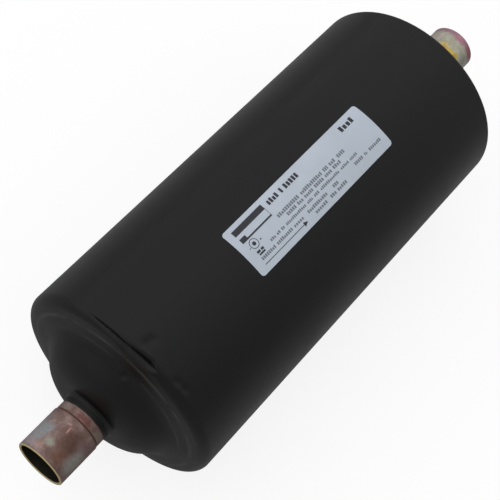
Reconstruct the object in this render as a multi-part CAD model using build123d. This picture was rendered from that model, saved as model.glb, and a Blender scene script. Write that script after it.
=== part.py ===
from build123d import *
import math
import os

# Liquid line filter drier with solder sockets, in millimetres.
# The axis is X and the flow runs from -X to +X. +Z is the side of the label.
# The origin is the middle of the overall length.

# Shell: a deep drawn cup. Its formed bottom is the inlet end, its cut edge the outlet end.
shell_diameter = 76.2
shell_wall = 1.5
body_length = 156.8        # straight run of the shell, from its cut edge to the bottom's shoulder
shoulder_radius = 3.6
face_slope = 1.8           # degrees, the flat ring round the dome rises towards the middle
end_ring_width = 10.1      # from the drum's side to the dome's foot
dome_foot_fillet = 2.5
dome_side_angle = 46.0     # degrees, from the ring's plane
dome_shoulder_inset = 14.0 # the dome's own shoulder has a radius this much under its foot's
bottom_dome_height = 10.9

# Outlet cap: a pressing that sits in the shell's cut edge and is welded there
cap_wall = 1.5
cap_rise = 1.3             # the cap's corner stands this far out of the shell
cap_bend_radius = 3.0
cap_skirt = 12.0           # reach of the skirt into the shell
cap_dome_height = 11.2
cap_fit = 0.05             # radial clearance of the skirt in the shell
weld_height = 1.2
weld_root = 0.6            # depth of the weld in the notch

# Fittings: turned steel, copper plated, one in each end
stem_radius = 8.7
stem_bore_radius = 6.6
stem_length = 6.6          # from the dome to the socket's step
socket_radius = 8.95
socket_bore_radius = 7.97  # takes a 5/8 inch tube
socket_depth = 14.5
stub_length = 22.3         # from the dome to the mouth
step_groove_width = 0.6
step_groove_depth = 0.3
mouth_chamfer = 0.25
flange_radius = 11.0
flange_thickness = 1.2
neck_fit = 0.05            # radial clearance of the stem in the dome's hole
braze_radius = 1.5

# Core and what locates it
core_room = 3.6            # from the core's side to the shell's inside
core_edge = 1.5            # chamfer of the moulded block
core_bore_radius = 7.0
core_blind_end = 16.0      # thickness left at the closed end of the bore
core_rim = 12.7            # width of the core's end round its pocket
core_pocket_depth = 5.0
pan_wall = 1.0
pan_depth = 8.8            # from the flange to the floor
pan_bend_radius = 1.5
pan_flange_fit = 0.15      # radial clearance of the flange in the shell
core_fit = 0.3             # radial clearance of the core in the pan and the pressure plate
gasket_thickness = 2.0
gasket_setback = 0.2       # how far the gasket's bore lies outside the pocket
gasket_inset = 1.0         # how far the gasket's edge lies inside the core's side
hole_radius = 2.0
hole_pitch = 6.5
hole_rings = 2
screen_thickness = 0.3
mat_fit = 0.3              # radial clearance of the mat and the screen in the core's pocket
felt_inset = 3.0           # how far the felt's edge lies inside the core's side
felt_thickness = 2.5

# Pressure plate and spring at the inlet
plate_wall = 0.8
plate_skirt = 8.0
plate_bend_radius = 1.5
plate_boss_radius = 14.0
plate_boss_height = 2.0
lug_width = 10.0
lug_count = 3
lug_fit = 0.2              # radial clearance of the lugs in the shell
spring_wall = 0.8
spring_legs = 3
spring_leg_width = 8.0
spring_height = 15.0       # from the shell's bottom to the pressure plate
spring_toe_room = 2.6      # from the tip of a leg to the shell's inside
spring_foot = 3.4          # length of a leg that lies on the shell's bottom
spring_reach = 4.0         # how far out a leg goes on its way to the bottom
spring_knee = 3.0          # from the hub's edge to the bend of a leg
spring_hub_width = 4.0
spring_bend_radius = 2.5
spring_fit = 0.05          # clearance of the feet on the shell's bottom

# Label
label_length = 69.6
label_width = 18.6         # along the curve
label_thickness = 0.12
label_corner_radius = 1.2
label_offset = 1.26        # middle of the label, from the middle of the overall length

# Places along the axis
shell_radius = shell_diameter / 2
bore_radius = shell_radius - shell_wall
skirt_radius = bore_radius - cap_fit
dome_foot_radius = shell_radius - end_ring_width
dome_shoulder_radius = dome_foot_radius - dome_shoulder_inset
core_radius = bore_radius - core_room
core_pocket_radius = core_radius - core_rim
spring_toe_radius = bore_radius - spring_toe_room
spring_heel_radius = spring_toe_radius - spring_foot
spring_knee_radius = spring_heel_radius - spring_reach
spring_hub_radius = spring_knee_radius - spring_knee
slope_rise = math.tan(math.radians(face_slope))
shoulder_reach = shoulder_radius * math.tan(math.radians((90 - face_slope) / 2))
bottom_foot = shoulder_reach + (shell_radius - dome_foot_radius) * slope_rise
bottom_height = bottom_foot + bottom_dome_height
cap_foot = cap_rise + (skirt_radius - dome_foot_radius) * slope_rise
cap_height = cap_foot + cap_dome_height
overall_length = body_length + bottom_height + cap_height + 2 * stub_length
inlet_mouth_x = -overall_length / 2
outlet_mouth_x = overall_length / 2
inlet_neck_x = inlet_mouth_x + stub_length
outlet_neck_x = outlet_mouth_x - stub_length
shell_bottom_x = inlet_neck_x + bottom_height
shell_edge_x = outlet_neck_x - cap_height
skirt_edge_x = shell_edge_x - cap_skirt
pan_floor_x = skirt_edge_x + pan_depth
core_outlet_x = pan_floor_x - gasket_thickness
slope_stretch = 1 / math.cos(math.radians(face_slope))
plate_x = shell_bottom_x - shoulder_reach + shell_wall + spring_height
felt_x = plate_x + plate_wall
core_inlet_x = felt_x + felt_thickness


def turned(face):
    """A face beside the X axis, turned round it."""
    return revolve(face, axis=Axis.X)


def ring(x_low, x_high, inner, outer):
    """A plain ring or disc between two places on the axis."""
    middle = Pos((x_low + x_high) / 2, (inner + outer) / 2)
    return turned(middle * Rectangle(x_high - x_low, outer - inner))


def sheet(corners, radii, wall):
    """A section of even thickness, laid on the left of the line through its corners."""
    points = [Vector(*corner) for corner in corners]
    runs = [(b - a).normalized() for a, b in zip(points, points[1:])]
    sides = [Vector(-run.Y, run.X) for run in runs]
    inner = [points[0] + sides[0] * wall]
    inner_radii = []
    for point, side, following, run, radius in zip(points[1:], sides, sides[1:], runs, radii):
        bisector = (side + following).normalized()
        inner.append(point + bisector * (wall / bisector.dot(side)))
        turns_left = run.dot(following) < 0
        inner_radii.append(radius - wall if turns_left else radius + wall)
    inner.append(points[-1] + sides[-1] * wall)
    outside = FilletPolyline(*points, radius=radii)
    inside = FilletPolyline(*inner, radius=inner_radii)
    ends = Line(points[0], inner[0]) + Line(points[-1], inner[-1])
    return make_face(outside + inside + ends)


def dome_corners(edge_u, edge_radius, dome_height):
    """Corners of a stepped end: its edge, the dome's foot, the dome's shoulder and the neck.

    The first value is the distance out along the axis, the second the radius.
    """
    foot_u = edge_u + (edge_radius - dome_foot_radius) * slope_rise
    crown_u = foot_u + dome_height
    crown_radius = dome_foot_radius - dome_height / math.tan(math.radians(dome_side_angle))
    return [
        (edge_u, edge_radius),
        (foot_u, dome_foot_radius),
        (crown_u, crown_radius),
        (crown_u, stem_radius + neck_fit),
    ]


def shell():
    ends = dome_corners(shoulder_reach, shell_radius, bottom_dome_height)
    corners = [(shell_edge_x, shell_radius)] + [(shell_bottom_x - u, r) for u, r in ends]
    return turned(sheet(corners, [shoulder_radius, dome_foot_fillet, dome_shoulder_radius], shell_wall))


def outlet_cap():
    ends = dome_corners(cap_rise, skirt_radius, cap_dome_height)
    corners = [(skirt_edge_x, skirt_radius)] + [(shell_edge_x + u, r) for u, r in ends]
    corners.reverse()
    return turned(sheet(corners, [dome_shoulder_radius, dome_foot_fillet, cap_bend_radius], cap_wall))


def cap_weld(carriers):
    """The bead that fills the notch between the shell's cut edge and the cap's bend."""
    outer = shell_radius
    inner = skirt_radius - cap_bend_radius / 2
    low = shell_edge_x - weld_root
    high = shell_edge_x + weld_height
    crest = outer - weld_height
    rim = (
        Line((high, crest), (high, inner))
        + Line((high, inner), (low, inner))
        + Line((low, inner), (low, outer))
        + Line((low, outer), (shell_edge_x, outer))
        + RadiusArc((shell_edge_x, outer), (high, crest), weld_height)
    )
    return turned(make_face(rim)) - carriers


def at_neck(piece, neck_x, outward):
    """A piece drawn round the origin, pointing along +X, set on a dome's neck to point outwards."""
    if outward < 0:
        piece = mirror(piece, about=Plane.YZ)
    return Pos(neck_x, 0, 0) * piece


def fitting(neck_x, outward):
    """A stub with a solder socket, whose flange bears on the inside of its dome."""
    wall = shell_wall if outward < 0 else cap_wall
    flange_u = -wall - flange_thickness
    stop_u = stub_length - socket_depth
    outline = Polyline(
        (flange_u, stem_bore_radius),
        (flange_u, flange_radius),
        (-wall, flange_radius),
        (-wall, stem_radius),
        (stem_length - step_groove_width, stem_radius),
        (stem_length - step_groove_width / 2, stem_radius - step_groove_depth),
        (stem_length, stem_radius),
        (stem_length, socket_radius),
        (stub_length - mouth_chamfer, socket_radius),
        (stub_length, socket_radius - mouth_chamfer),
        (stub_length, socket_bore_radius + mouth_chamfer),
        (stub_length - mouth_chamfer, socket_bore_radius),
        (stop_u, socket_bore_radius),
        (stop_u, stem_bore_radius),
        close=True,
    )
    return at_neck(turned(make_face(outline)), neck_x, outward)


def neck_braze(neck_x, outward):
    """The hollow fillet round the stem, on the dome."""
    foot = (0, stem_radius + braze_radius)
    top = (braze_radius, stem_radius)
    root = (0, stem_radius)
    section = make_face(RadiusArc(foot, top, -braze_radius) + Line(top, root) + Line(root, foot))
    return at_neck(turned(section), neck_x, outward)


def desiccant_core():
    block = ring(core_inlet_x, core_outlet_x, 0, core_radius)
    block = chamfer(block.edges().filter_by(GeomType.CIRCLE), core_edge)
    bore = ring(core_inlet_x + core_blind_end, core_outlet_x, 0, core_bore_radius)
    pocket = ring(core_outlet_x - core_pocket_depth, core_outlet_x, 0, core_pocket_radius)
    return block - bore - pocket


def outlet_pan():
    """The pan that holds the core's outlet end, with a pierced middle."""
    wall_radius = core_radius + core_fit + pan_wall
    corners = [
        (pan_floor_x + pan_wall, 0),
        (pan_floor_x + pan_wall, wall_radius),
        (skirt_edge_x, wall_radius),
        (skirt_edge_x, bore_radius - pan_flange_fit),
    ]
    pan = turned(sheet(corners, [pan_bend_radius, pan_bend_radius / 2], pan_wall))
    drill = Cylinder(hole_radius, 3 * pan_wall, rotation=(0, 90, 0))
    places = [(0.0, 0.0)]
    for ring_number in range(1, hole_rings + 1):
        count = 6 * ring_number
        places += [(ring_number * hole_pitch, 360 / count * step) for step in range(count)]
    holes = [
        Pos(pan_floor_x + pan_wall / 2, 0, 0) * Rot(angle, 0, 0) * Pos(0, 0, radius) * drill
        for radius, angle in places
    ]
    return pan - holes


def core_gasket():
    bore = core_pocket_radius + gasket_setback
    return ring(core_outlet_x, pan_floor_x, bore, core_radius - gasket_inset)


def outlet_screen():
    return ring(pan_floor_x - screen_thickness, pan_floor_x, 0, core_pocket_radius - mat_fit)


def filter_mat():
    return ring(
        core_outlet_x - core_pocket_depth,
        pan_floor_x - screen_thickness,
        0,
        core_pocket_radius - mat_fit,
    )


def core_felt():
    return ring(felt_x, core_inlet_x, 0, core_radius - felt_inset)


def pressure_plate():
    """The cup that the spring presses on the core's closed end, with lugs that keep it central."""
    wall_radius = core_radius + core_fit + plate_wall
    corners = [
        (plate_x + plate_skirt, wall_radius),
        (plate_x, wall_radius),
        (plate_x, plate_boss_radius + plate_boss_height),
        (plate_x - plate_boss_height, plate_boss_radius),
        (plate_x - plate_boss_height, 0),
    ]
    bends = [plate_bend_radius, plate_bend_radius, plate_bend_radius]
    cup = turned(sheet(corners, bends, plate_wall))
    reach = bore_radius - lug_fit
    skirt_end = plate_x + plate_skirt
    band = ring(skirt_end - plate_wall, skirt_end, wall_radius, reach)
    lugs = [
        band & (Rot(360 / lug_count * step, 0, 0) * Pos(skirt_end, 0, reach / 2) * Box(
            2 * plate_wall, lug_width, reach))
        for step in range(lug_count)
    ]
    return cup + lugs


def core_spring():
    """A leaf spring: a hub on the pressure plate and legs that bear on the shell's bottom."""
    def foot_x(radius):
        floor_x = shell_bottom_x - shoulder_reach - (shell_radius - radius) * slope_rise
        return floor_x + (shell_wall + spring_fit + spring_wall) * slope_stretch

    corners = [
        (plate_x, spring_hub_radius - spring_hub_width / 2),
        (plate_x, spring_knee_radius),
        (foot_x(spring_heel_radius), spring_heel_radius),
        (foot_x(spring_toe_radius), spring_toe_radius),
    ]
    bends = [spring_bend_radius, spring_bend_radius]
    leg = extrude(sheet(corners, bends, spring_wall), amount=spring_leg_width / 2, both=True)
    hub_inner = spring_hub_radius - spring_hub_width
    hub = ring(plate_x - spring_wall, plate_x, hub_inner, spring_hub_radius)
    return hub + [Rot(360 / spring_legs * step, 0, 0) * leg for step in range(spring_legs)]


def label():
    """A rectangular sheet with round corners, laid on the top of the shell."""
    outer = shell_radius + label_thickness
    width = 2 * outer * math.sin(label_width / outer / 2)
    blank = extrude(RectangleRounded(label_length, width, label_corner_radius), amount=2 * outer)
    sleeve = ring(-label_length / 2, label_length / 2, shell_radius, outer)
    return Pos(label_offset, 0, 0) * (sleeve & blank)


def parts():
    body = shell()
    cap = outlet_cap()
    return {
        "shell": body,
        "outlet_cap": cap,
        "cap_weld": cap_weld([body, cap]),
        "inlet_fitting": fitting(inlet_neck_x, -1),
        "outlet_fitting": fitting(outlet_neck_x, 1),
        "inlet_neck_braze": neck_braze(inlet_neck_x, -1),
        "outlet_neck_braze": neck_braze(outlet_neck_x, 1),
        "core_spring": core_spring(),
        "pressure_plate": pressure_plate(),
        "core_felt": core_felt(),
        "desiccant_core": desiccant_core(),
        "filter_mat": filter_mat(),
        "outlet_screen": outlet_screen(),
        "core_gasket": core_gasket(),
        "outlet_pan": outlet_pan(),
        "label": label(),
    }


os.makedirs("parts", exist_ok=True)
for node, solid in parts().items():
    export_step(solid, f"parts/{node}.step")
print(f"overall length {overall_length:.3f} mm, straight shell {shell_bottom_x:.3f} to {shell_edge_x:.3f} mm")
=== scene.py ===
import bpy
import bmesh
import math
import random
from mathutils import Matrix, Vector


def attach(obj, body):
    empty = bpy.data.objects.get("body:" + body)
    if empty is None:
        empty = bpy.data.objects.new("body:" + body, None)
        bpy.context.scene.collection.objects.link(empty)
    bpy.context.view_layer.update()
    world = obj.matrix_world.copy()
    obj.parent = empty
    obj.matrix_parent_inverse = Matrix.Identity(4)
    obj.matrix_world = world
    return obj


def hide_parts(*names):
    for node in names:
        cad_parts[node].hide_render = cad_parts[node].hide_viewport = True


# Liquid line filter drier on a white studio floor. Metres, the drum's axis is X, the flow runs to +X.
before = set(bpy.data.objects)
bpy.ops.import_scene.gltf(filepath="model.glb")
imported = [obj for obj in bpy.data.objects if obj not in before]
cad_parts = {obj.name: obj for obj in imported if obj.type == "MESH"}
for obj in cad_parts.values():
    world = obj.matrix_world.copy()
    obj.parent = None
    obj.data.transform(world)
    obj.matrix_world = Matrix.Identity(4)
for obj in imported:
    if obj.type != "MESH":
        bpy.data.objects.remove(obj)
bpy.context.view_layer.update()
scene = bpy.context.scene
mm = 0.001


# colours are written as sRGB hex and turned to linear here
def hexColour(code):
    values = []
    for start in (0, 2, 4):
        share = int(code[start:start + 2], 16) / 255
        values.append(share / 12.92 if share <= 0.04045 else ((share + 0.055) / 1.055) ** 2.4)
    return (*values, 1.0)


# sets a node's inputs, by name or number, each from a value or from (node, output)
def plugIn(tree, node, inputs):
    for socket, value in inputs.items():
        if isinstance(value, tuple) and isinstance(value[0], bpy.types.Node):
            tree.links.new(value[0].outputs[value[1]], node.inputs[socket])
        else:
            node.inputs[socket].default_value = value


# adds a node with its inputs, its settings and, on a ramp, its colour stops
def addNode(tree, kind, inputs=None, stops=(), **settings):
    node = tree.nodes.new(kind)
    for name, value in settings.items():
        setattr(node, name, value)
    if stops:
        elements = node.color_ramp.elements
        elements.remove(elements[1])
        elements[0].position, elements[0].color = stops[0]
        for position, colour in stops[1:]:
            elements.new(position).color = colour
    plugIn(tree, node, inputs or {})
    return node


# gives back the emptied node tree of a material or a world
def emptyTree(owner):
    owner.use_nodes = True
    owner.node_tree.nodes.clear()
    return owner.node_tree


# a principled material: gives back its tree, its shader and the object's own coordinates
def newMaterial(name, shaderValues):
    material = bpy.data.materials.new(name)
    tree = emptyTree(material)
    shader = addNode(tree, "ShaderNodeBsdfPrincipled", shaderValues)
    addNode(tree, "ShaderNodeOutputMaterial", {"Surface": (shader, "BSDF")})
    place = (addNode(tree, "ShaderNodeTexCoord"), "Object")
    return material, tree, shader, place


# soft patches of one size in metres, as a level that wanders from low to high. Noise keeps mostly to 0.3 and 0.7.
def patchyLevel(tree, place, size, low, high, detail=3.0, roughness=0.5):
    noise = addNode(tree, "ShaderNodeTexNoise",
                    {"Vector": place, "Scale": 1 / size, "Detail": detail, "Roughness": roughness})
    level = addNode(tree, "ShaderNodeMapRange", {
        "Value": (noise, "Fac"), "From Min": 0.3, "From Max": 0.7, "To Min": low, "To Max": high})
    return (level, "Result")


# a colour that is a little darker and lighter in patches
def unevenColour(tree, place, colour, size, shades, detail=3.0):
    level = patchyLevel(tree, place, size, *shades, detail=detail)
    return (addNode(tree, "ShaderNodeHueSaturation", {"Color": colour, "Value": level}), "Color")


def distanceFromAxis(tree, axes):
    flat = addNode(tree, "ShaderNodeCombineXYZ", {"Y": (axes, "Y"), "Z": (axes, "Z")})
    return addNode(tree, "ShaderNodeVectorMath", {0: (flat, "Vector")}, operation="LENGTH")


# turns a finished bmesh into an object
def meshObject(shape, name, material):
    mesh = bpy.data.meshes.new(name)
    shape.to_mesh(mesh)
    shape.free()
    piece = bpy.data.objects.new(name, mesh)
    scene.collection.objects.link(piece)
    mesh.materials.append(material)
    return piece


def grey(value):
    return (value, value, value, 1.0)


# studio: camera, floor, sky and two soft boxes
studio = {
    "cameraPlace": (-0.19764, -0.0061, 0.3696),
    "cameraTurn": (20.435, -17.682, -48.828),  # degrees
    "lens": 86.36,
    "sensorWidth": 36.0,
    "nearClip": 0.01,
    "floorHeight": -0.0381,  # the drum lies on its side
    "floorSize": 6.0,
    "floorPaper": "707070",
    "floorGlow": 0.84,       # tops the lit paper up to white for the eye and through glass
    "glossGlow": 0.1,        # glow that gloss and metal see
    # direction of the room's bright side, and its brightness from straight away from it to straight at it
    "brightSide": (0.547, 0.837, 0.0),
    "room": [(0.0, 0.25), (0.2, 0.2), (0.3, 0.25), (0.4, 0.33),
             (0.5, 0.37), (0.65, 0.46), (0.8, 0.5), (1.0, 0.41)],
    # the boxes light the drum but don't show as spots in its gloss
    "boxes": {
        "leftSoftBox": {"place": (-0.35, 0.8, 1.35), "size": 1.8, "power": 21.0},
        "rightSoftBox": {"place": (0.2, -0.9, 1.2), "size": 1.4, "power": 5.0},
    },
}

cameraData = bpy.data.cameras.new("studioCamera")
cameraData.lens = studio["lens"]
cameraData.sensor_width = studio["sensorWidth"]
cameraData.clip_start = studio["nearClip"]
camera = bpy.data.objects.new("studioCamera", cameraData)
camera.location = studio["cameraPlace"]
camera.rotation_euler = [math.radians(angle) for angle in studio["cameraTurn"]]
scene.collection.objects.link(camera)
scene.camera = camera
scene.view_settings.view_transform = "Standard"


# the eye and glass see what is meant to look white
def seenDirectly(tree, rays):
    return addNode(tree, "ShaderNodeMath", {0: (rays, "Is Camera Ray"), 1: (rays, "Is Transmission Ray")},
                   operation="MAXIMUM")


def makeSky():
    world = bpy.data.worlds.new("studioSky")
    scene.world = world
    tree = emptyTree(world)
    direction = addNode(tree, "ShaderNodeTexCoord")
    side = addNode(tree, "ShaderNodeVectorMath", {0: (direction, "Generated"), 1: studio["brightSide"]},
                   operation="DOT_PRODUCT")
    share = addNode(tree, "ShaderNodeMapRange", {"Value": (side, "Value"), "From Min": -1.0, "From Max": 1.0})
    ramp = addNode(tree, "ShaderNodeValToRGB", {"Fac": (share, "Result")},
                   stops=[(place, grey(level)) for place, level in studio["room"]])
    seen = seenDirectly(tree, addNode(tree, "ShaderNodeLightPath"))
    colour = addNode(tree, "ShaderNodeMixRGB",
                     {"Fac": (seen, "Value"), "Color1": (ramp, "Color"), "Color2": grey(1.0)})
    background = addNode(tree, "ShaderNodeBackground", {"Color": (colour, "Color")})
    addNode(tree, "ShaderNodeOutputWorld", {"Surface": (background, "Background")})


# matt paper under the drum: it takes a soft shadow, looks white to the eye and is clear from below
def makePaper():
    material = bpy.data.materials.new("whiteStudioPaper")
    tree = emptyTree(material)
    rays = addNode(tree, "ShaderNodeLightPath")
    seenGlow = addNode(tree, "ShaderNodeMath", {0: (seenDirectly(tree, rays), "Value"), 1: studio["floorGlow"]},
                       operation="MULTIPLY")
    glowLevel = addNode(tree, "ShaderNodeMath",
                        {0: (rays, "Is Glossy Ray"), 1: studio["glossGlow"], 2: (seenGlow, "Value")},
                        operation="MULTIPLY_ADD")
    paper = addNode(tree, "ShaderNodeBsdfDiffuse", {"Color": hexColour(studio["floorPaper"])})
    glow = addNode(tree, "ShaderNodeEmission", {"Strength": (glowLevel, "Value")})
    both = addNode(tree, "ShaderNodeAddShader", {0: (paper, "BSDF"), 1: (glow, "Emission")})
    side = addNode(tree, "ShaderNodeNewGeometry")
    clear = addNode(tree, "ShaderNodeBsdfTransparent")
    oneWay = addNode(tree, "ShaderNodeMixShader",
                     {"Fac": (side, "Backfacing"), 1: (both, "Shader"), 2: (clear, "BSDF")})
    addNode(tree, "ShaderNodeOutputMaterial", {"Surface": (oneWay, "Shader")})
    return material


def makeFloor():
    shape = bmesh.new()
    bmesh.ops.create_grid(shape, x_segments=1, y_segments=1, size=studio["floorSize"] / 2)
    bmesh.ops.translate(shape, verts=shape.verts, vec=(0, 0, studio["floorHeight"]))
    meshObject(shape, "studioFloor", makePaper())


def makeSoftBoxes():
    for name, box in studio["boxes"].items():
        lamp = bpy.data.lights.new(name, "AREA")
        lamp.shape = "SQUARE"
        lamp.size = box["size"]
        lamp.energy = box["power"]
        holder = bpy.data.objects.new(name, lamp)
        holder.location = box["place"]
        holder.rotation_mode = "QUATERNION"
        holder.rotation_quaternion = (-Vector(box["place"])).to_track_quat("-Z", "Y")
        holder.visible_glossy = False
        scene.collection.objects.link(holder)


makeSky()
makeFloor()
makeSoftBoxes()
print("studio ready")


# black semi-gloss enamel, sprayed and baked: deep black, soft wide reflections, a faint orange peel
enamel = {
    "colour": "0d0d0e",
    "ior": 1.5,
    "gloss": (0.26, 0.36),        # roughness, where wiped and where dull
    "smearSize": 18 * mm,
    "peelSize": 2.2 * mm,         # real peel is finer, drawn coarse enough to show
    "peelDepth": 0.0035 * mm,
    "waveSize": 26 * mm,          # slow unevenness of the drawn steel
    "waveDepth": 0.03 * mm,
    # drops of thick paint: place, reach and height in mm
    "drops": {
        "shoulderLip": ((-78.4, -1.4, 37.9), 2.0, 0.12),
        "ridgeSpeck": ((-82.3, -15.6, 21.3), 1.2, 0.1),
    },
    "endStart": -80.6 * mm,       # the pressed inlet end lies beyond this
    "endDull": 0.09,              # the coat is drier there, added to its roughness
    "dullFade": 2.0 * mm,
    # painted highlight: two lighter lines drawn into the coat's colour on the edges of that end: radius, half width
    # in mm and strength
    "paintedHighlightColour": "484a48",
    "paintedHighlights": {"outerHighlightLine": (32.65, 1.0, 0.6), "innerHighlightLine": (28.6, 0.7, 0.4)},
    "highlightFade": 0.3 * mm,
    "highlightPatchSize": 9 * mm,           # the painted highlight lines come and go
    "highlightShare": (0.36, 0.6),      # noise level where a painted highlight line starts and where it is full
}


# the coat's height in metres, as a chain of math nodes that ends in one bump
def coatBump(tree, place, drops):
    peel, wave = [addNode(tree, "ShaderNodeTexNoise",
                          {"Vector": place, "Scale": 1 / enamel[size], "Detail": 1.0, "Roughness": 0.4})
                  for size in ("peelSize", "waveSize")]
    peelHeight = addNode(tree, "ShaderNodeMath", {0: (peel, "Fac"), 1: enamel["peelDepth"]}, operation="MULTIPLY")
    height = addNode(tree, "ShaderNodeMath", {0: (wave, "Fac"), 1: enamel["waveDepth"], 2: (peelHeight, "Value")},
                     operation="MULTIPLY_ADD")
    for where, reach, rise in drops.values():
        gap = addNode(tree, "ShaderNodeVectorMath", {0: place, 1: Vector(where) * mm}, operation="DISTANCE")
        drop = addNode(tree, "ShaderNodeMapRange", {
            "Value": (gap, "Value"), "From Min": 0.0, "From Max": reach * mm, "To Min": rise * mm, "To Max": 0.0},
            interpolation_type="SMOOTHSTEP")
        height = addNode(tree, "ShaderNodeMath", {0: (height, "Value"), 1: (drop, "Result")}, operation="ADD")
    return addNode(tree, "ShaderNodeBump", {"Strength": 1.0, "Distance": 1.0, "Height": (height, "Value")})


# 0 on the drum's side and 1 on the inlet end
def onInletEnd(tree, axes, fade):
    return addNode(tree, "ShaderNodeMapRange", {
        "Value": (axes, "X"), "From Min": enamel["endStart"], "From Max": enamel["endStart"] - fade})


def coatRoughness(tree, place, axes):
    level = patchyLevel(tree, place, enamel["smearSize"], *enamel["gloss"], roughness=0.55)
    onEnd = onInletEnd(tree, axes, enamel["dullFade"])
    return addNode(tree, "ShaderNodeMath", {0: (onEnd, "Result"), 1: enamel["endDull"], 2: level},
                   operation="MULTIPLY_ADD")


# the coat's colour, with painted highlight lines drawn lighter along the edges of the end
def coatColour(tree, place, axes, paintedHighlights):
    radius = distanceFromAxis(tree, axes)
    onEnd = onInletEnd(tree, axes, enamel["highlightFade"])
    patch = addNode(tree, "ShaderNodeTexNoise", {"Vector": place, "Scale": 1 / enamel["highlightPatchSize"], "Detail": 3.0})
    start, full = enamel["highlightShare"]
    highlightPatches = addNode(tree, "ShaderNodeMapRange", {"Value": (patch, "Fac"), "From Min": start, "From Max": full})
    highlightLevel = addNode(tree, "ShaderNodeMath", {0: (onEnd, "Result"), 1: (highlightPatches, "Result")}, operation="MULTIPLY")
    colour = hexColour(enamel["colour"])
    # painted highlight: each line mixes a lighter grey into the coat
    for highlightRadius, reach, strength in paintedHighlights.values():
        gap = addNode(tree, "ShaderNodeMath", {0: (radius, "Value"), 1: highlightRadius * mm}, operation="SUBTRACT")
        far = addNode(tree, "ShaderNodeMath", {0: (gap, "Value")}, operation="ABSOLUTE")
        near = addNode(tree, "ShaderNodeMapRange", {
            "Value": (far, "Value"), "From Min": reach * mm, "From Max": 0.0, "To Max": strength})
        share = addNode(tree, "ShaderNodeMath", {0: (near, "Result"), 1: (highlightLevel, "Value")}, operation="MULTIPLY")
        mixed = addNode(tree, "ShaderNodeMixRGB", {
            "Fac": (share, "Value"), "Color1": colour, "Color2": hexColour(enamel["paintedHighlightColour"])})
        colour = (mixed, "Color")
    return colour


def makeEnamel(name, drops, paintedHighlights):
    material, tree, shader, place = newMaterial(name, {"IOR": enamel["ior"]})
    axes = addNode(tree, "ShaderNodeSeparateXYZ", {"Vector": place})
    plugIn(tree, shader, {
        "Base Color": coatColour(tree, place, axes, paintedHighlights) if paintedHighlights else hexColour(enamel["colour"]),
        "Roughness": (coatRoughness(tree, place, axes), "Value"),
        "Normal": (coatBump(tree, place, drops), "Normal")})
    return material


blackEnamel = makeEnamel("blackEnamelCoat", enamel["drops"], enamel["paintedHighlights"])
plainEnamel = makeEnamel("blackEnamelCoatPlain", {}, {})
print("enamel ready")


# the drum's shell, a deep drawn cup, with the coined ring and the crease that the plain solid leaves out
drum = {
    # outside corners from the cut edge to the neck: place, radius and fillet in mm, and the fillet's cuts
    "corners": [
        (79.369, 38.1, 0, 0),         # cut edge
        (78.0, 38.1, 0, 0),
        (-70.5, 38.1, 0, 0),          # end of the plain run
        (-80.92, 38.1, 3.6, 24),      # shoulder
        (-81.78, 32.95, 2.5, 3),      # coined edge of the ring
        (-81.98, 32.2, 2.5, 3),
        (-83.1, 26.2, 6.5, 10),       # the dome's foot
        (-92.137, 17.474, 14.0, 20),  # the dome's shoulder
        (-92.137, 8.75, 0, 0),        # neck
    ],
    "wall": 1.5,
    "steps": 240,
    "sharpAngle": 40,                 # degrees
    # middle and radius of the shoulder's round, which the crease follows
    "shoulderPlace": (-77.43, 34.5),
    "shoulderRadius": 3.6,
    # a crease knocked into the shoulder. Turn: its start, full width from and to, and end, in degrees towards -Y.
    # Lowest: the turn where it lies nearest the ring, and how far up the round it is there. It climbs by the lean.
    "crease": {"turn": (-36.0, 0.0, 4.5, 9.5), "lowest": (-9.0, 30.0), "lean": 1.2,
               "halfWidth": 2.2, "steepness": 1.0},
    # small knocks: place, reach and depth in mm
    "knocks": {
        "besideCrease": ((-76.3, 2.0, 38.0), 2.2, 0.8),
        "aboveCrease": ((-74.0, 1.6, 38.0), 2.4, 0.7),
        "domeSpot": ((-83.6, 0.4, 25.8), 1.9, 0.9),
        "sideKnock": ((-77.2, -12.4, 36.0), 1.9, 0.6),
        "secondSideKnock": ((-76.6, -15.6, 34.8), 1.9, 0.5),
    },
    "knockStart": -70.0,              # the mesh is finer beyond this
    "knockGrid": 0.6,                 # longest quad there
}


# draws the outside as a chain of edges and rounds its corners
def drawOutline(shape):
    corners = drum["corners"]
    points = [shape.verts.new((x * mm, 0, radius * mm)) for x, radius, fillet, cuts in corners]
    for first, second in zip(points, points[1:]):
        shape.edges.new((first, second))
    bends = []
    for before, corner, after, (x, radius, fillet, cuts) in zip(points, points[1:], points[2:], corners[1:]):
        if fillet:
            bend = (corner.co - before.co).angle(after.co - corner.co)
            bends.append((corner, fillet * mm * math.tan(bend / 2), cuts))
    for corner, cutBack, cuts in bends:
        bmesh.ops.bevel(shape, geom=[corner], offset=cutBack, offset_type="OFFSET", segments=cuts,
                        profile=0.5, affect="VERTICES", material=-1)


# presses the crease into the shoulder, deepest along its middle line
def pressCrease(shape):
    crease = drum["crease"]
    start, wideFrom, wideTo, end = crease["turn"]
    lowestTurn, lowestAngle = crease["lowest"]
    for point in shape.verts:
        radius = math.hypot(point.co.y, point.co.z) / mm
        out, up = drum["shoulderPlace"][0] - point.co.x / mm, radius - drum["shoulderPlace"][1]
        turn = math.degrees(math.atan2(-point.co.y, point.co.z))
        if out < 0 or up < 0 or not start < turn < end:
            continue
        share = min((turn - start) / (wideFrom - start), (end - turn) / (end - wideTo), 1.0)
        middle = math.radians(lowestAngle + crease["lean"] * abs(turn - lowestTurn))
        across = drum["shoulderRadius"] * abs(math.atan2(up, out) - middle)
        sink = max(0.0, crease["steepness"] * (crease["halfWidth"] * share - across))
        length = math.hypot(out, up)
        lowered = (radius - sink * up / length) / radius
        point.co.x += sink * out / length * mm
        point.co.y *= lowered
        point.co.z *= lowered


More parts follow.
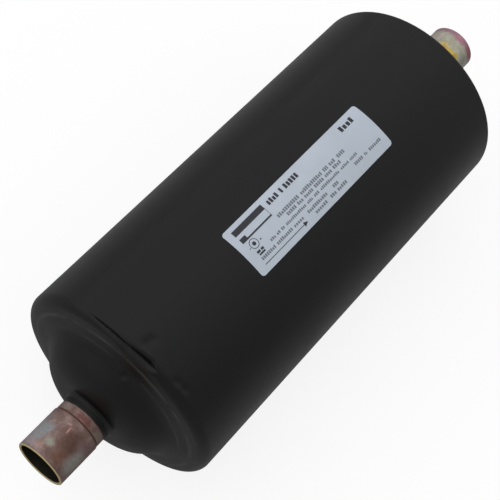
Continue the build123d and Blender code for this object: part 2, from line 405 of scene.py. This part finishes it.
def pressKnocks(shape):
    for place, reach, depth in drum["knocks"].values():
        middle = Vector(place) * mm
        for point in shape.verts:
            gap = (point.co - middle).length / (reach * mm)
            if gap < 1:
                outward = Vector((0, point.co.y, point.co.z)).normalized()
                point.co -= outward * depth * (1 - gap * gap) ** 2 * mm


# more loops on the long straight runs near the inlet end, for the knocks
def cutRuns(shape):
    longest = drum["knockGrid"] * mm
    for edge in shape.edges[:]:
        nearEnd = all(point.co.x < drum["knockStart"] * mm for point in edge.verts)
        if nearEnd and edge.calc_length() > longest:
            bmesh.ops.subdivide_edges(shape, edges=[edge], cuts=int(edge.calc_length() / longest))


def makeShell():
    shape = bmesh.new()
    drawOutline(shape)
    cutRuns(shape)
    bmesh.ops.spin(shape, geom=shape.verts[:] + shape.edges[:], cent=(0, 0, 0), axis=(1, 0, 0), dvec=(0, 0, 0),
                   angle=math.tau, steps=drum["steps"], use_merge=True)
    pressCrease(shape)
    pressKnocks(shape)
    bmesh.ops.recalc_face_normals(shape, faces=shape.faces)
    bmesh.ops.solidify(shape, geom=shape.faces[:], thickness=drum["wall"] * mm)
    for face in shape.faces:
        face.smooth = True
    piece = meshObject(shape, "drumShell", blackEnamel)
    piece.data.set_sharp_from_angle(angle=math.radians(drum["sharpAngle"]))
    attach(piece, "root")
    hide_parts("shell")


makeShell()
print("shell ready")


# copper flash plating on turned steel: dull metal, stained mauve and grey by brazing heat
# patches: place along the axis in mm, turn towards -Y in degrees, half length, half width, tilt, colour, strength
stub = {
    "radius": 8.95,
    "metal": 0.6,
    "roughness": (0.32, 0.48),
    "dullStops": (0.35, 0.65),        # noise levels of the smoothest and the dullest plate
    "stainSize": 5 * mm,
    "stainDepth": 0.03 * mm,
    "stainRelief": 0.5,               # share of the bump that shows
    "toneStops": (0.38, 0.5, 0.62),   # noise levels of the three tones
    "edgeWander": 2.2 * mm,           # how far a patch's edge strays
    "wanderSize": 3 * mm,
    "patchCore": 0.35,                # share of a patch at full strength
    "strokeCore": 0.6,
    "patchEnd": 1.2,                  # where it has faded out, in half widths
    "grain": 0.9 * mm,                # mottling of the plate, the real one is finer
    "mottle": (0.88, 1.12),           # how dark and how light it gets
    "inlet": {
        "tones": ["7d625c", "8f7570", "a08a84"],   # brown to mauve
        "patches": {
            "greySide": (-108.6, -62, 7.0, 4.6, 0, "b0b0b2", 0.9),
            "lilacEdge": (-112.4, -48, 1.6, 4.5, 0, "bda6a8", 0.7),
            "blueGrey": (-106.6, -42, 3.0, 2.2, 20, "9fa4a8", 0.8),
            "greenGrey": (-109.2, -17, 1.7, 2.2, 0, "aaa79c", 0.8),
            "brown": (-105.4, 12, 5.0, 4.6, 0, "694c42", 0.85),
            "brownMouth": (-110.6, 17, 2.8, 2.8, 0, "7b5745", 0.8),
            "tan": (-111.3, -27, 1.1, 1.1, 0, "b8917a", 0.7),
            "greyFlank": (-108.4, 53, 5.4, 3.6, 0, "a5a19a", 0.9),
            "mauveFlank": (-102.6, 50, 2.6, 2.6, 0, "84686a", 0.6),
            "collarRed": (-97.2, 0, 1.6, 3.4, 0, "7a4640", 0.7),
            "collarGrey": (-97.2, 52, 1.7, 2.6, 0, "8f8878", 0.7),
            "collarPale": (-97.0, -52, 1.4, 2.6, 0, "a79a90", 0.6),
        },
        # bare strokes where a tool has touched the plate
        "strokes": {
            "upper": (-103.3, -47, 1.3, 0.36, 50, "c79f96", 0.75),
            "middle": (-101.2, -13, 1.0, 0.34, 80, "c0958c", 0.75),
            "lower": (-102.8, -6, 1.3, 0.34, -5, "c79a90", 0.75),
            "faint": (-101.8, -4, 0.9, 0.3, 75, "a87c74", 0.6),
        },
        "grooveColour": "7d6056",                  # a darker, browner tone along the groove
        "groovePlace": -98.5 * mm,
        "grooveReach": (0.55 * mm, 0.22 * mm),     # where it starts and where it is full
        "paintedBoreShade": "34322c",                    # painted shade: the bore drawn dark
        "boreRadius": (8.3 * mm, 8.1 * mm),
        "rimColour": "e6cf9a",                     # bare brassy edge at the mouth
        "rimStart": (-114.12 * mm, -114.22 * mm),
        "paintEdge": -95.4 * mm,                   # the coat ends here on the stem, in a wavy line
        "paintWander": 1.0 * mm,
        "paintWanderSize": 5 * mm,
        "paintBlur": 0.15 * mm,
    },
    "outlet": {
        "tones": ["b9b5a2", "c6c4b2", "cfcabe"],   # cream and grey green
        # heat tint: yellow by the drum, rose at the mouth
        "patches": {
            "roseMouth": (114.6, 0, 3.6, 30, 0, "ab8290", 0.95),
            "roseTop": (112.6, 3, 1.9, 2.6, 0, "c78c9c", 0.8),
            "roseSide": (113.0, 46, 2.0, 4.0, 0, "a86a72", 0.85),
            "greySide": (108.6, 48, 3.4, 3.0, 0, "9c9c8e", 0.7),
            "paleSide": (108.6, -52, 3.6, 3.6, 0, "cfc3bc", 0.6),
            "yellow": (104.4, 6, 2.0, 4.4, 0, "e6c850", 0.9),
            "yellowLeft": (105.9, -18, 1.5, 2.4, -30, "e2cb74", 0.8),
            "yellowRight": (105.7, 26, 1.5, 2.2, 30, "d8c458", 0.85),
            "orange": (103.0, 4, 1.5, 4.6, 0, "e8a050", 0.9),
            "orangeLeft": (104.4, -18, 1.0, 2.4, -30, "dc9c5c", 0.8),
            "orangeRight": (104.2, 26, 1.0, 2.2, 30, "d89a48", 0.8),
            "browned": (99.0, 0, 3.4, 30, 0, "8a6248", 0.85),
        },
    },
}


# the stub's side laid flat, along the axis and round it, and the same with stray edges
def layFlat(tree, place, axes):
    other = addNode(tree, "ShaderNodeMath", {0: (axes, "Y"), 1: -1.0}, operation="MULTIPLY")
    turn = addNode(tree, "ShaderNodeMath", {0: (other, "Value"), 1: (axes, "Z")}, operation="ARCTAN2")
    around = addNode(tree, "ShaderNodeMath", {0: (turn, "Value"), 1: stub["radius"] * mm}, operation="MULTIPLY")
    flat = addNode(tree, "ShaderNodeCombineXYZ", {"X": (axes, "X"), "Y": (around, "Value")})
    stray = addNode(tree, "ShaderNodeTexNoise", {"Vector": place, "Scale": 1 / stub["wanderSize"], "Detail": 3.0})
    reach = stub["edgeWander"]
    push = addNode(tree, "ShaderNodeVectorMath",
                   {0: (stray, "Color"), 1: (reach, reach, 0), 2: (-reach / 2, -reach / 2, 0)},
                   operation="MULTIPLY_ADD")
    strayed = addNode(tree, "ShaderNodeVectorMath", {0: (flat, "Vector"), 1: (push, "Vector")}, operation="ADD")
    return flat, strayed


def addPatches(tree, flat, colour, patches, core):
    for x, turn, length, width, tilt, tone, strength in patches.values():
        spot = addNode(tree, "ShaderNodeMapping", {
            "Vector": (flat, "Vector"),
            "Location": (x * mm, math.radians(turn) * stub["radius"] * mm, 0.0),
            "Rotation": (0.0, 0.0, math.radians(tilt)),
            "Scale": (length * mm, width * mm, 1.0)}, vector_type="TEXTURE")
        far = addNode(tree, "ShaderNodeVectorMath", {0: (spot, "Vector")}, operation="LENGTH")
        share = addNode(tree, "ShaderNodeMapRange", {
            "Value": (far, "Value"), "From Min": core, "From Max": stub["patchEnd"],
            "To Min": strength, "To Max": 0.0}, interpolation_type="SMOOTHSTEP")
        mixed = addNode(tree, "ShaderNodeMixRGB", {
            "Fac": (share, "Result"), "Color1": colour, "Color2": hexColour(tone)})
        colour = (mixed, "Color")
    return colour


# stained plate: tones of its own, patches and strokes over them and a fine mottle
def plateColour(tree, place, axes, stain, values):
    stops = [(level, hexColour(tone)) for level, tone in zip(stub["toneStops"], values["tones"])]
    tones = addNode(tree, "ShaderNodeValToRGB", {"Fac": (stain, "Fac")}, stops=stops)
    flat, strayed = layFlat(tree, place, axes)
    colour = addPatches(tree, strayed, (tones, "Color"), values["patches"], stub["patchCore"])
    colour = addPatches(tree, flat, colour, values.get("strokes", {}), stub["strokeCore"])
    return unevenColour(tree, place, colour, stub["grain"], stub["mottle"], detail=2.0)


# what lies over the inlet's plate: a darker brown along the groove, painted shade in the bore, the bare rim and
# paint. Gives back the colour and the metal left.
def coverInlet(tree, place, axes, colour):
    values = stub["inlet"]
    grooveGap = addNode(tree, "ShaderNodeMath", {0: (axes, "X"), 1: values["groovePlace"]}, operation="SUBTRACT")
    grooveFar = addNode(tree, "ShaderNodeMath", {0: (grooveGap, "Value")}, operation="ABSOLUTE")
    wander = addNode(tree, "ShaderNodeTexNoise",
                     {"Vector": place, "Scale": 1 / values["paintWanderSize"], "Detail": 2.0})
    paintLine = addNode(tree, "ShaderNodeMath",
                        {0: (wander, "Fac"), 1: values["paintWander"], 2: (axes, "X")}, operation="MULTIPLY_ADD")
    paintMiddle, blur = values["paintEdge"] + values["paintWander"] / 2, values["paintBlur"]
    # each layer runs from where it starts to where it is full, and paint comes last
    layers = [
        ((grooveFar, "Value"), values["grooveReach"], values["grooveColour"]),
        # painted shade: surfaces inside the bore drawn dark
        ((distanceFromAxis(tree, axes), "Value"), values["boreRadius"], values["paintedBoreShade"]),
        ((axes, "X"), values["rimStart"], values["rimColour"]),
        ((paintLine, "Value"), (paintMiddle - blur, paintMiddle + blur), enamel["colour"]),
    ]
    for level, (start, full), tone in layers:
        share = addNode(tree, "ShaderNodeMapRange", {"Value": level, "From Min": start, "From Max": full})
        mixed = addNode(tree, "ShaderNodeMixRGB", {
            "Fac": (share, "Result"), "Color1": colour, "Color2": hexColour(tone)})
        colour = (mixed, "Color")
    metal = addNode(tree, "ShaderNodeMapRange", {"Value": (share, "Result"), "To Min": stub["metal"], "To Max": 0.0})
    return colour, (metal, "Result")


# the stain drives the tones, the roughness and a slight bump together
def makePlating(name, values, cover=None):
    material, tree, shader, place = newMaterial(name, {"Metallic": stub["metal"]})
    axes = addNode(tree, "ShaderNodeSeparateXYZ", {"Vector": place})
    stain = addNode(tree, "ShaderNodeTexNoise", {
        "Vector": place, "Scale": 1 / stub["stainSize"], "Detail": 4.0, "Roughness": 0.6})
    (start, full), (low, high) = stub["dullStops"], stub["roughness"]
    dull = addNode(tree, "ShaderNodeMapRange", {
        "Value": (stain, "Fac"), "From Min": start, "From Max": full, "To Min": low, "To Max": high})
    bump = addNode(tree, "ShaderNodeBump", {
        "Strength": stub["stainRelief"], "Distance": stub["stainDepth"], "Height": (stain, "Fac")})
    plugIn(tree, shader, {"Roughness": (dull, "Result"), "Normal": (bump, "Normal")})
    colour = plateColour(tree, place, axes, stain, values)
    if cover:
        colour, metal = cover(tree, place, axes, colour)
        plugIn(tree, shader, {"Metallic": metal})
    plugIn(tree, shader, {"Base Color": colour})
    return material


inletPlating = makePlating("stainedCopperPlate", stub["inlet"], coverInlet)
outletPlating = makePlating("heatTintedCopperPlate", stub["outlet"])
print("plating ready")


# label film: pale silver blue, satin, with flat ink on it
labelLook = {
    "film": "b3bcc7",
    "filmMetal": 0.1,
    "filmIor": 1.46,
    "filmCloud": 12 * mm,
    "filmShades": (0.96, 1.04),
    "filmRoughness": (0.4, 0.5),
    "ink": "2d2f35",
    "fineInk": "686d76",    # rows of fine print, seen as a paler tone
    "inkIor": 1.5,
    "inkRoughness": 0.5,
    "inkSpeck": 0.5 * mm,
    "inkShades": (0.85, 1.15),
    "radius": 38.22,        # the film's outer face, mm
    "inkSink": 0.006,
    "inkHeight": 0.016,
    "columnStep": 0.7,      # longest flat run round the curve
}


def makeFilm():
    material, tree, shader, place = newMaterial(
        "silverLabelFilm", {"Metallic": labelLook["filmMetal"], "IOR": labelLook["filmIor"]})
    cloud = labelLook["filmCloud"]
    plugIn(tree, shader, {
        "Base Color": unevenColour(tree, place, hexColour(labelLook["film"]), cloud, labelLook["filmShades"]),
        "Roughness": patchyLevel(tree, place, cloud, *labelLook["filmRoughness"])})
    return material


def makeInk(name, colour):
    material, tree, shader, place = newMaterial(
        name, {"IOR": labelLook["inkIor"], "Roughness": labelLook["inkRoughness"]})
    speck = unevenColour(tree, place, hexColour(colour), labelLook["inkSpeck"], labelLook["inkShades"], detail=2.0)
    plugIn(tree, shader, {"Base Color": speck})
    return material


silverFilm = makeFilm()
blackInk = makeInk("flatBlackInk", labelLook["ink"])
fineInk = makeInk("fineRowInk", labelLook["fineInk"])

# print on the label, generic bars and strokes, in mm along the drum and across the label, which runs to -Y
labelPrint = {
    # from and to along the drum, from and to across
    "fields": [
        (-30.7, -16.2, -7.6, -5.5), (-30.7, -28.0, -4.2, -2.4),
        (-16.35, -16.2, -5.5, -2.4), (-28.0, -16.35, -3.0, -2.4),
        (-27.6, -26.4, 2.2, 3.0), (-29.5, -28.0, 2.2, 3.0), (-29.3, -26.6, 3.3, 3.9),
        (-30.4, -30.0, 0.0, 0.4), (-25.5, -24.8, 0.0, 0.4),
    ],
    "ring": {"place": (-27.9, -0.2), "radius": 1.75, "width": 0.24, "dot": 0.7, "segments": 40, "dotSegments": 20},
    "arrow": {"from": -30.0, "neck": -10.3, "tip": -8.4, "place": 7.0, "line": 0.13, "head": 0.85},
    # rows of fine print as plain strokes: place across, height, stroke pitch, words from and to
    "rows": [
        {"ink": "dark", "place": -6.2, "height": 1.9, "pitch": 1.35,
         "words": [(-14.4, -9.1), (-8.0, -6.8), (-5.8, 1.2)]},
        {"ink": "dark", "place": -6.4, "height": 2.1, "pitch": 1.75, "words": [(24.3, 31.5)]},
        {"ink": "fine", "place": -0.9, "height": 1.3, "pitch": 0.95,
         "words": [(-15.4, -4.6), (-3.6, 7.6), (8.5, 10.9), (11.7, 14.7), (16.1, 19.8)]},
        {"ink": "fine", "place": 0.8, "height": 1.2, "pitch": 0.95,
         "words": [(-12.4, -7.8), (-7.0, -4.2), (-3.4, 1.0), (1.9, 6.6), (7.4, 11.0), (11.9, 15.9)]},
        {"ink": "fine", "place": 2.8, "height": 1.0, "pitch": 0.8,
         "words": [(-23.1, -20.6), (-20.0, -18.2), (-17.6, -16.0), (-15.2, -5.0), (-4.2, -1.4), (-0.6, 2.0),
                   (2.8, 12.8), (13.8, 18.1), (18.8, 22.6)]},
        {"ink": "fine", "place": 5.05, "height": 1.1, "pitch": 0.9,
         "words": [(-29.8, -23.0), (-22.2, -14.4), (-13.6, -8.7), (-6.4, 3.8), (7.0, 9.8), (19.0, 23.4),
                   (24.4, 25.8), (27.0, 33.4)]},
        {"ink": "fine", "place": 6.9, "height": 1.15, "pitch": 1.0,
         "words": [(-4.2, 1.9), (3.8, 6.8), (7.6, 12.5)]},
    ],
    "strokeGap": 0.14,                       # bare share of the pitch on each side of a stroke
    "strokeTrims": (0.0, 0.0, 0.12, 0.25),   # shares of the height that a stroke may fall short by
    "seed": 7,
}


# lays a flat field on the drawing plane, x along the drum and y across the label
def addField(shape, field):
    left, right, low, high = field
    columns = max(1, math.ceil((high - low) / labelLook["columnStep"]))
    patch = bmesh.ops.create_grid(shape, x_segments=1, y_segments=columns, size=0.5)
    bmesh.ops.scale(shape, verts=patch["verts"], vec=(right - left, high - low, 1))
    bmesh.ops.translate(shape, verts=patch["verts"], vec=((left + right) / 2, (low + high) / 2, 0))


# gives the drawing its thickness and wraps it round the drum
def wrapPrint(shape, name, material):
    raised = bmesh.ops.extrude_face_region(shape, geom=shape.faces[:], use_keep_orig=True)
    top = [item for item in raised["geom"] if isinstance(item, bmesh.types.BMVert)]
    bmesh.ops.translate(shape, verts=top, vec=(0, 0, labelLook["inkHeight"]))
    for point in shape.verts:
        radius = labelLook["radius"] - labelLook["inkSink"] + point.co.z
        angle = point.co.y / labelLook["radius"]
        point.co = Vector((point.co.x, -radius * math.sin(angle), radius * math.cos(angle))) * mm
    shape.normal_update()
    bmesh.ops.recalc_face_normals(shape, faces=shape.faces)
    piece = meshObject(shape, name, material)
    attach(piece, "root")


def addRows(shape, ink):
    shuffle = random.Random(labelPrint["seed"])
    for row in [row for row in labelPrint["rows"] if row["ink"] == ink]:
        for start, end in row["words"]:
            count = max(1, round((end - start) / row["pitch"]))
            pitch = (end - start) / count
            gap = pitch * labelPrint["strokeGap"]
            for number in range(count):
                left = start + number * pitch
                low, high = row["place"] - row["height"] / 2, row["place"] + row["height"] / 2
                low += row["height"] * shuffle.choice(labelPrint["strokeTrims"])
                addField(shape, (left + gap, left + pitch - gap, low, high))


def addRing(shape):
    ring = labelPrint["ring"]
    outer = bmesh.ops.create_circle(shape, cap_ends=False, segments=ring["segments"], radius=ring["radius"])
    inner = bmesh.ops.create_circle(shape, cap_ends=False, segments=ring["segments"],
                                    radius=ring["radius"] - ring["width"])
    edges = {edge for point in outer["verts"] + inner["verts"] for edge in point.link_edges}
    bmesh.ops.bridge_loops(shape, edges=list(edges))
    dot = bmesh.ops.create_circle(shape, cap_ends=True, segments=ring["dotSegments"], radius=ring["dot"])
    points = outer["verts"] + inner["verts"] + dot["verts"]
    bmesh.ops.translate(shape, verts=points, vec=(*ring["place"], 0))


def addArrow(shape):
    arrow = labelPrint["arrow"]
    place = arrow["place"]
    addField(shape, (arrow["from"], arrow["neck"], place - arrow["line"], place + arrow["line"]))
    corners = [(arrow["neck"], place - arrow["head"], 0), (arrow["tip"], place, 0),
               (arrow["neck"], place + arrow["head"], 0)]
    shape.faces.new([shape.verts.new(corner) for corner in corners])


def makePrint():
    dark = bmesh.new()
    for field in labelPrint["fields"]:
        addField(dark, field)
    addRing(dark)
    addArrow(dark)
    addRows(dark, "dark")
    wrapPrint(dark, "labelInk", blackInk)
    fine = bmesh.new()
    addRows(fine, "fine")
    wrapPrint(fine, "labelFineRows", fineInk)


makePrint()
print("label printed")


# finishes of the pieces inside the drum: dull pressed steel, fluffy felt and a core of small moulded beads
inside = {
    "toneStops": (0.35, 0.65),   # noise levels of the two tones
    "relief": 0.8,               # share of the bump that shows
    "pressedSteel": {
        "tones": ("8a8a8c", "a3a3a5"), "size": 9 * mm, "metal": 0.9, "roughness": 0.4, "depth": 0.01 * mm},
    "needledFelt": {
        "tones": ("c4bba8", "ded7c8"), "size": 0.8 * mm, "metal": 0.0, "roughness": 0.95, "depth": 0.15 * mm},
    "mouldedBeads": {
        "tones": ("8f7f66", "bca98a"), "size": 1.6 * mm, "metal": 0.0, "roughness": 0.9, "depth": 0.3 * mm},
}


def makeInsideMaterial(name):
    values = inside[name]
    material, tree, shader, place = newMaterial(
        name, {"Metallic": values["metal"], "Roughness": values["roughness"]})
    grain = addNode(tree, "ShaderNodeTexNoise", {"Vector": place, "Scale": 1 / values["size"], "Detail": 4.0})
    stops = [(level, hexColour(tone)) for level, tone in zip(inside["toneStops"], values["tones"])]
    tones = addNode(tree, "ShaderNodeValToRGB", {"Fac": (grain, "Fac")}, stops=stops)
    bump = addNode(tree, "ShaderNodeBump", {
        "Strength": inside["relief"], "Distance": values["depth"], "Height": (grain, "Fac")})
    plugIn(tree, shader, {"Base Color": (tones, "Color"), "Normal": (bump, "Normal")})
    return material


pressedSteel = makeInsideMaterial("pressedSteel")
needledFelt = makeInsideMaterial("needledFelt")
mouldedBeads = makeInsideMaterial("mouldedBeads")

finishes = {
    "shell": blackEnamel,
    "outlet_cap": plainEnamel,
    "cap_weld": plainEnamel,
    "inlet_neck_braze": plainEnamel,
    "outlet_neck_braze": plainEnamel,
    "inlet_fitting": inletPlating,
    "outlet_fitting": outletPlating,
    "label": silverFilm,
    "core_spring": pressedSteel,
    "pressure_plate": pressedSteel,
    "outlet_pan": pressedSteel,
    "outlet_screen": pressedSteel,
    "core_felt": needledFelt,
    "filter_mat": needledFelt,
    "core_gasket": needledFelt,
    "desiccant_core": mouldedBeads,
}
for node, material in finishes.items():
    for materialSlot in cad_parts[node].material_slots:
        materialSlot.material = material
print("finishes set")
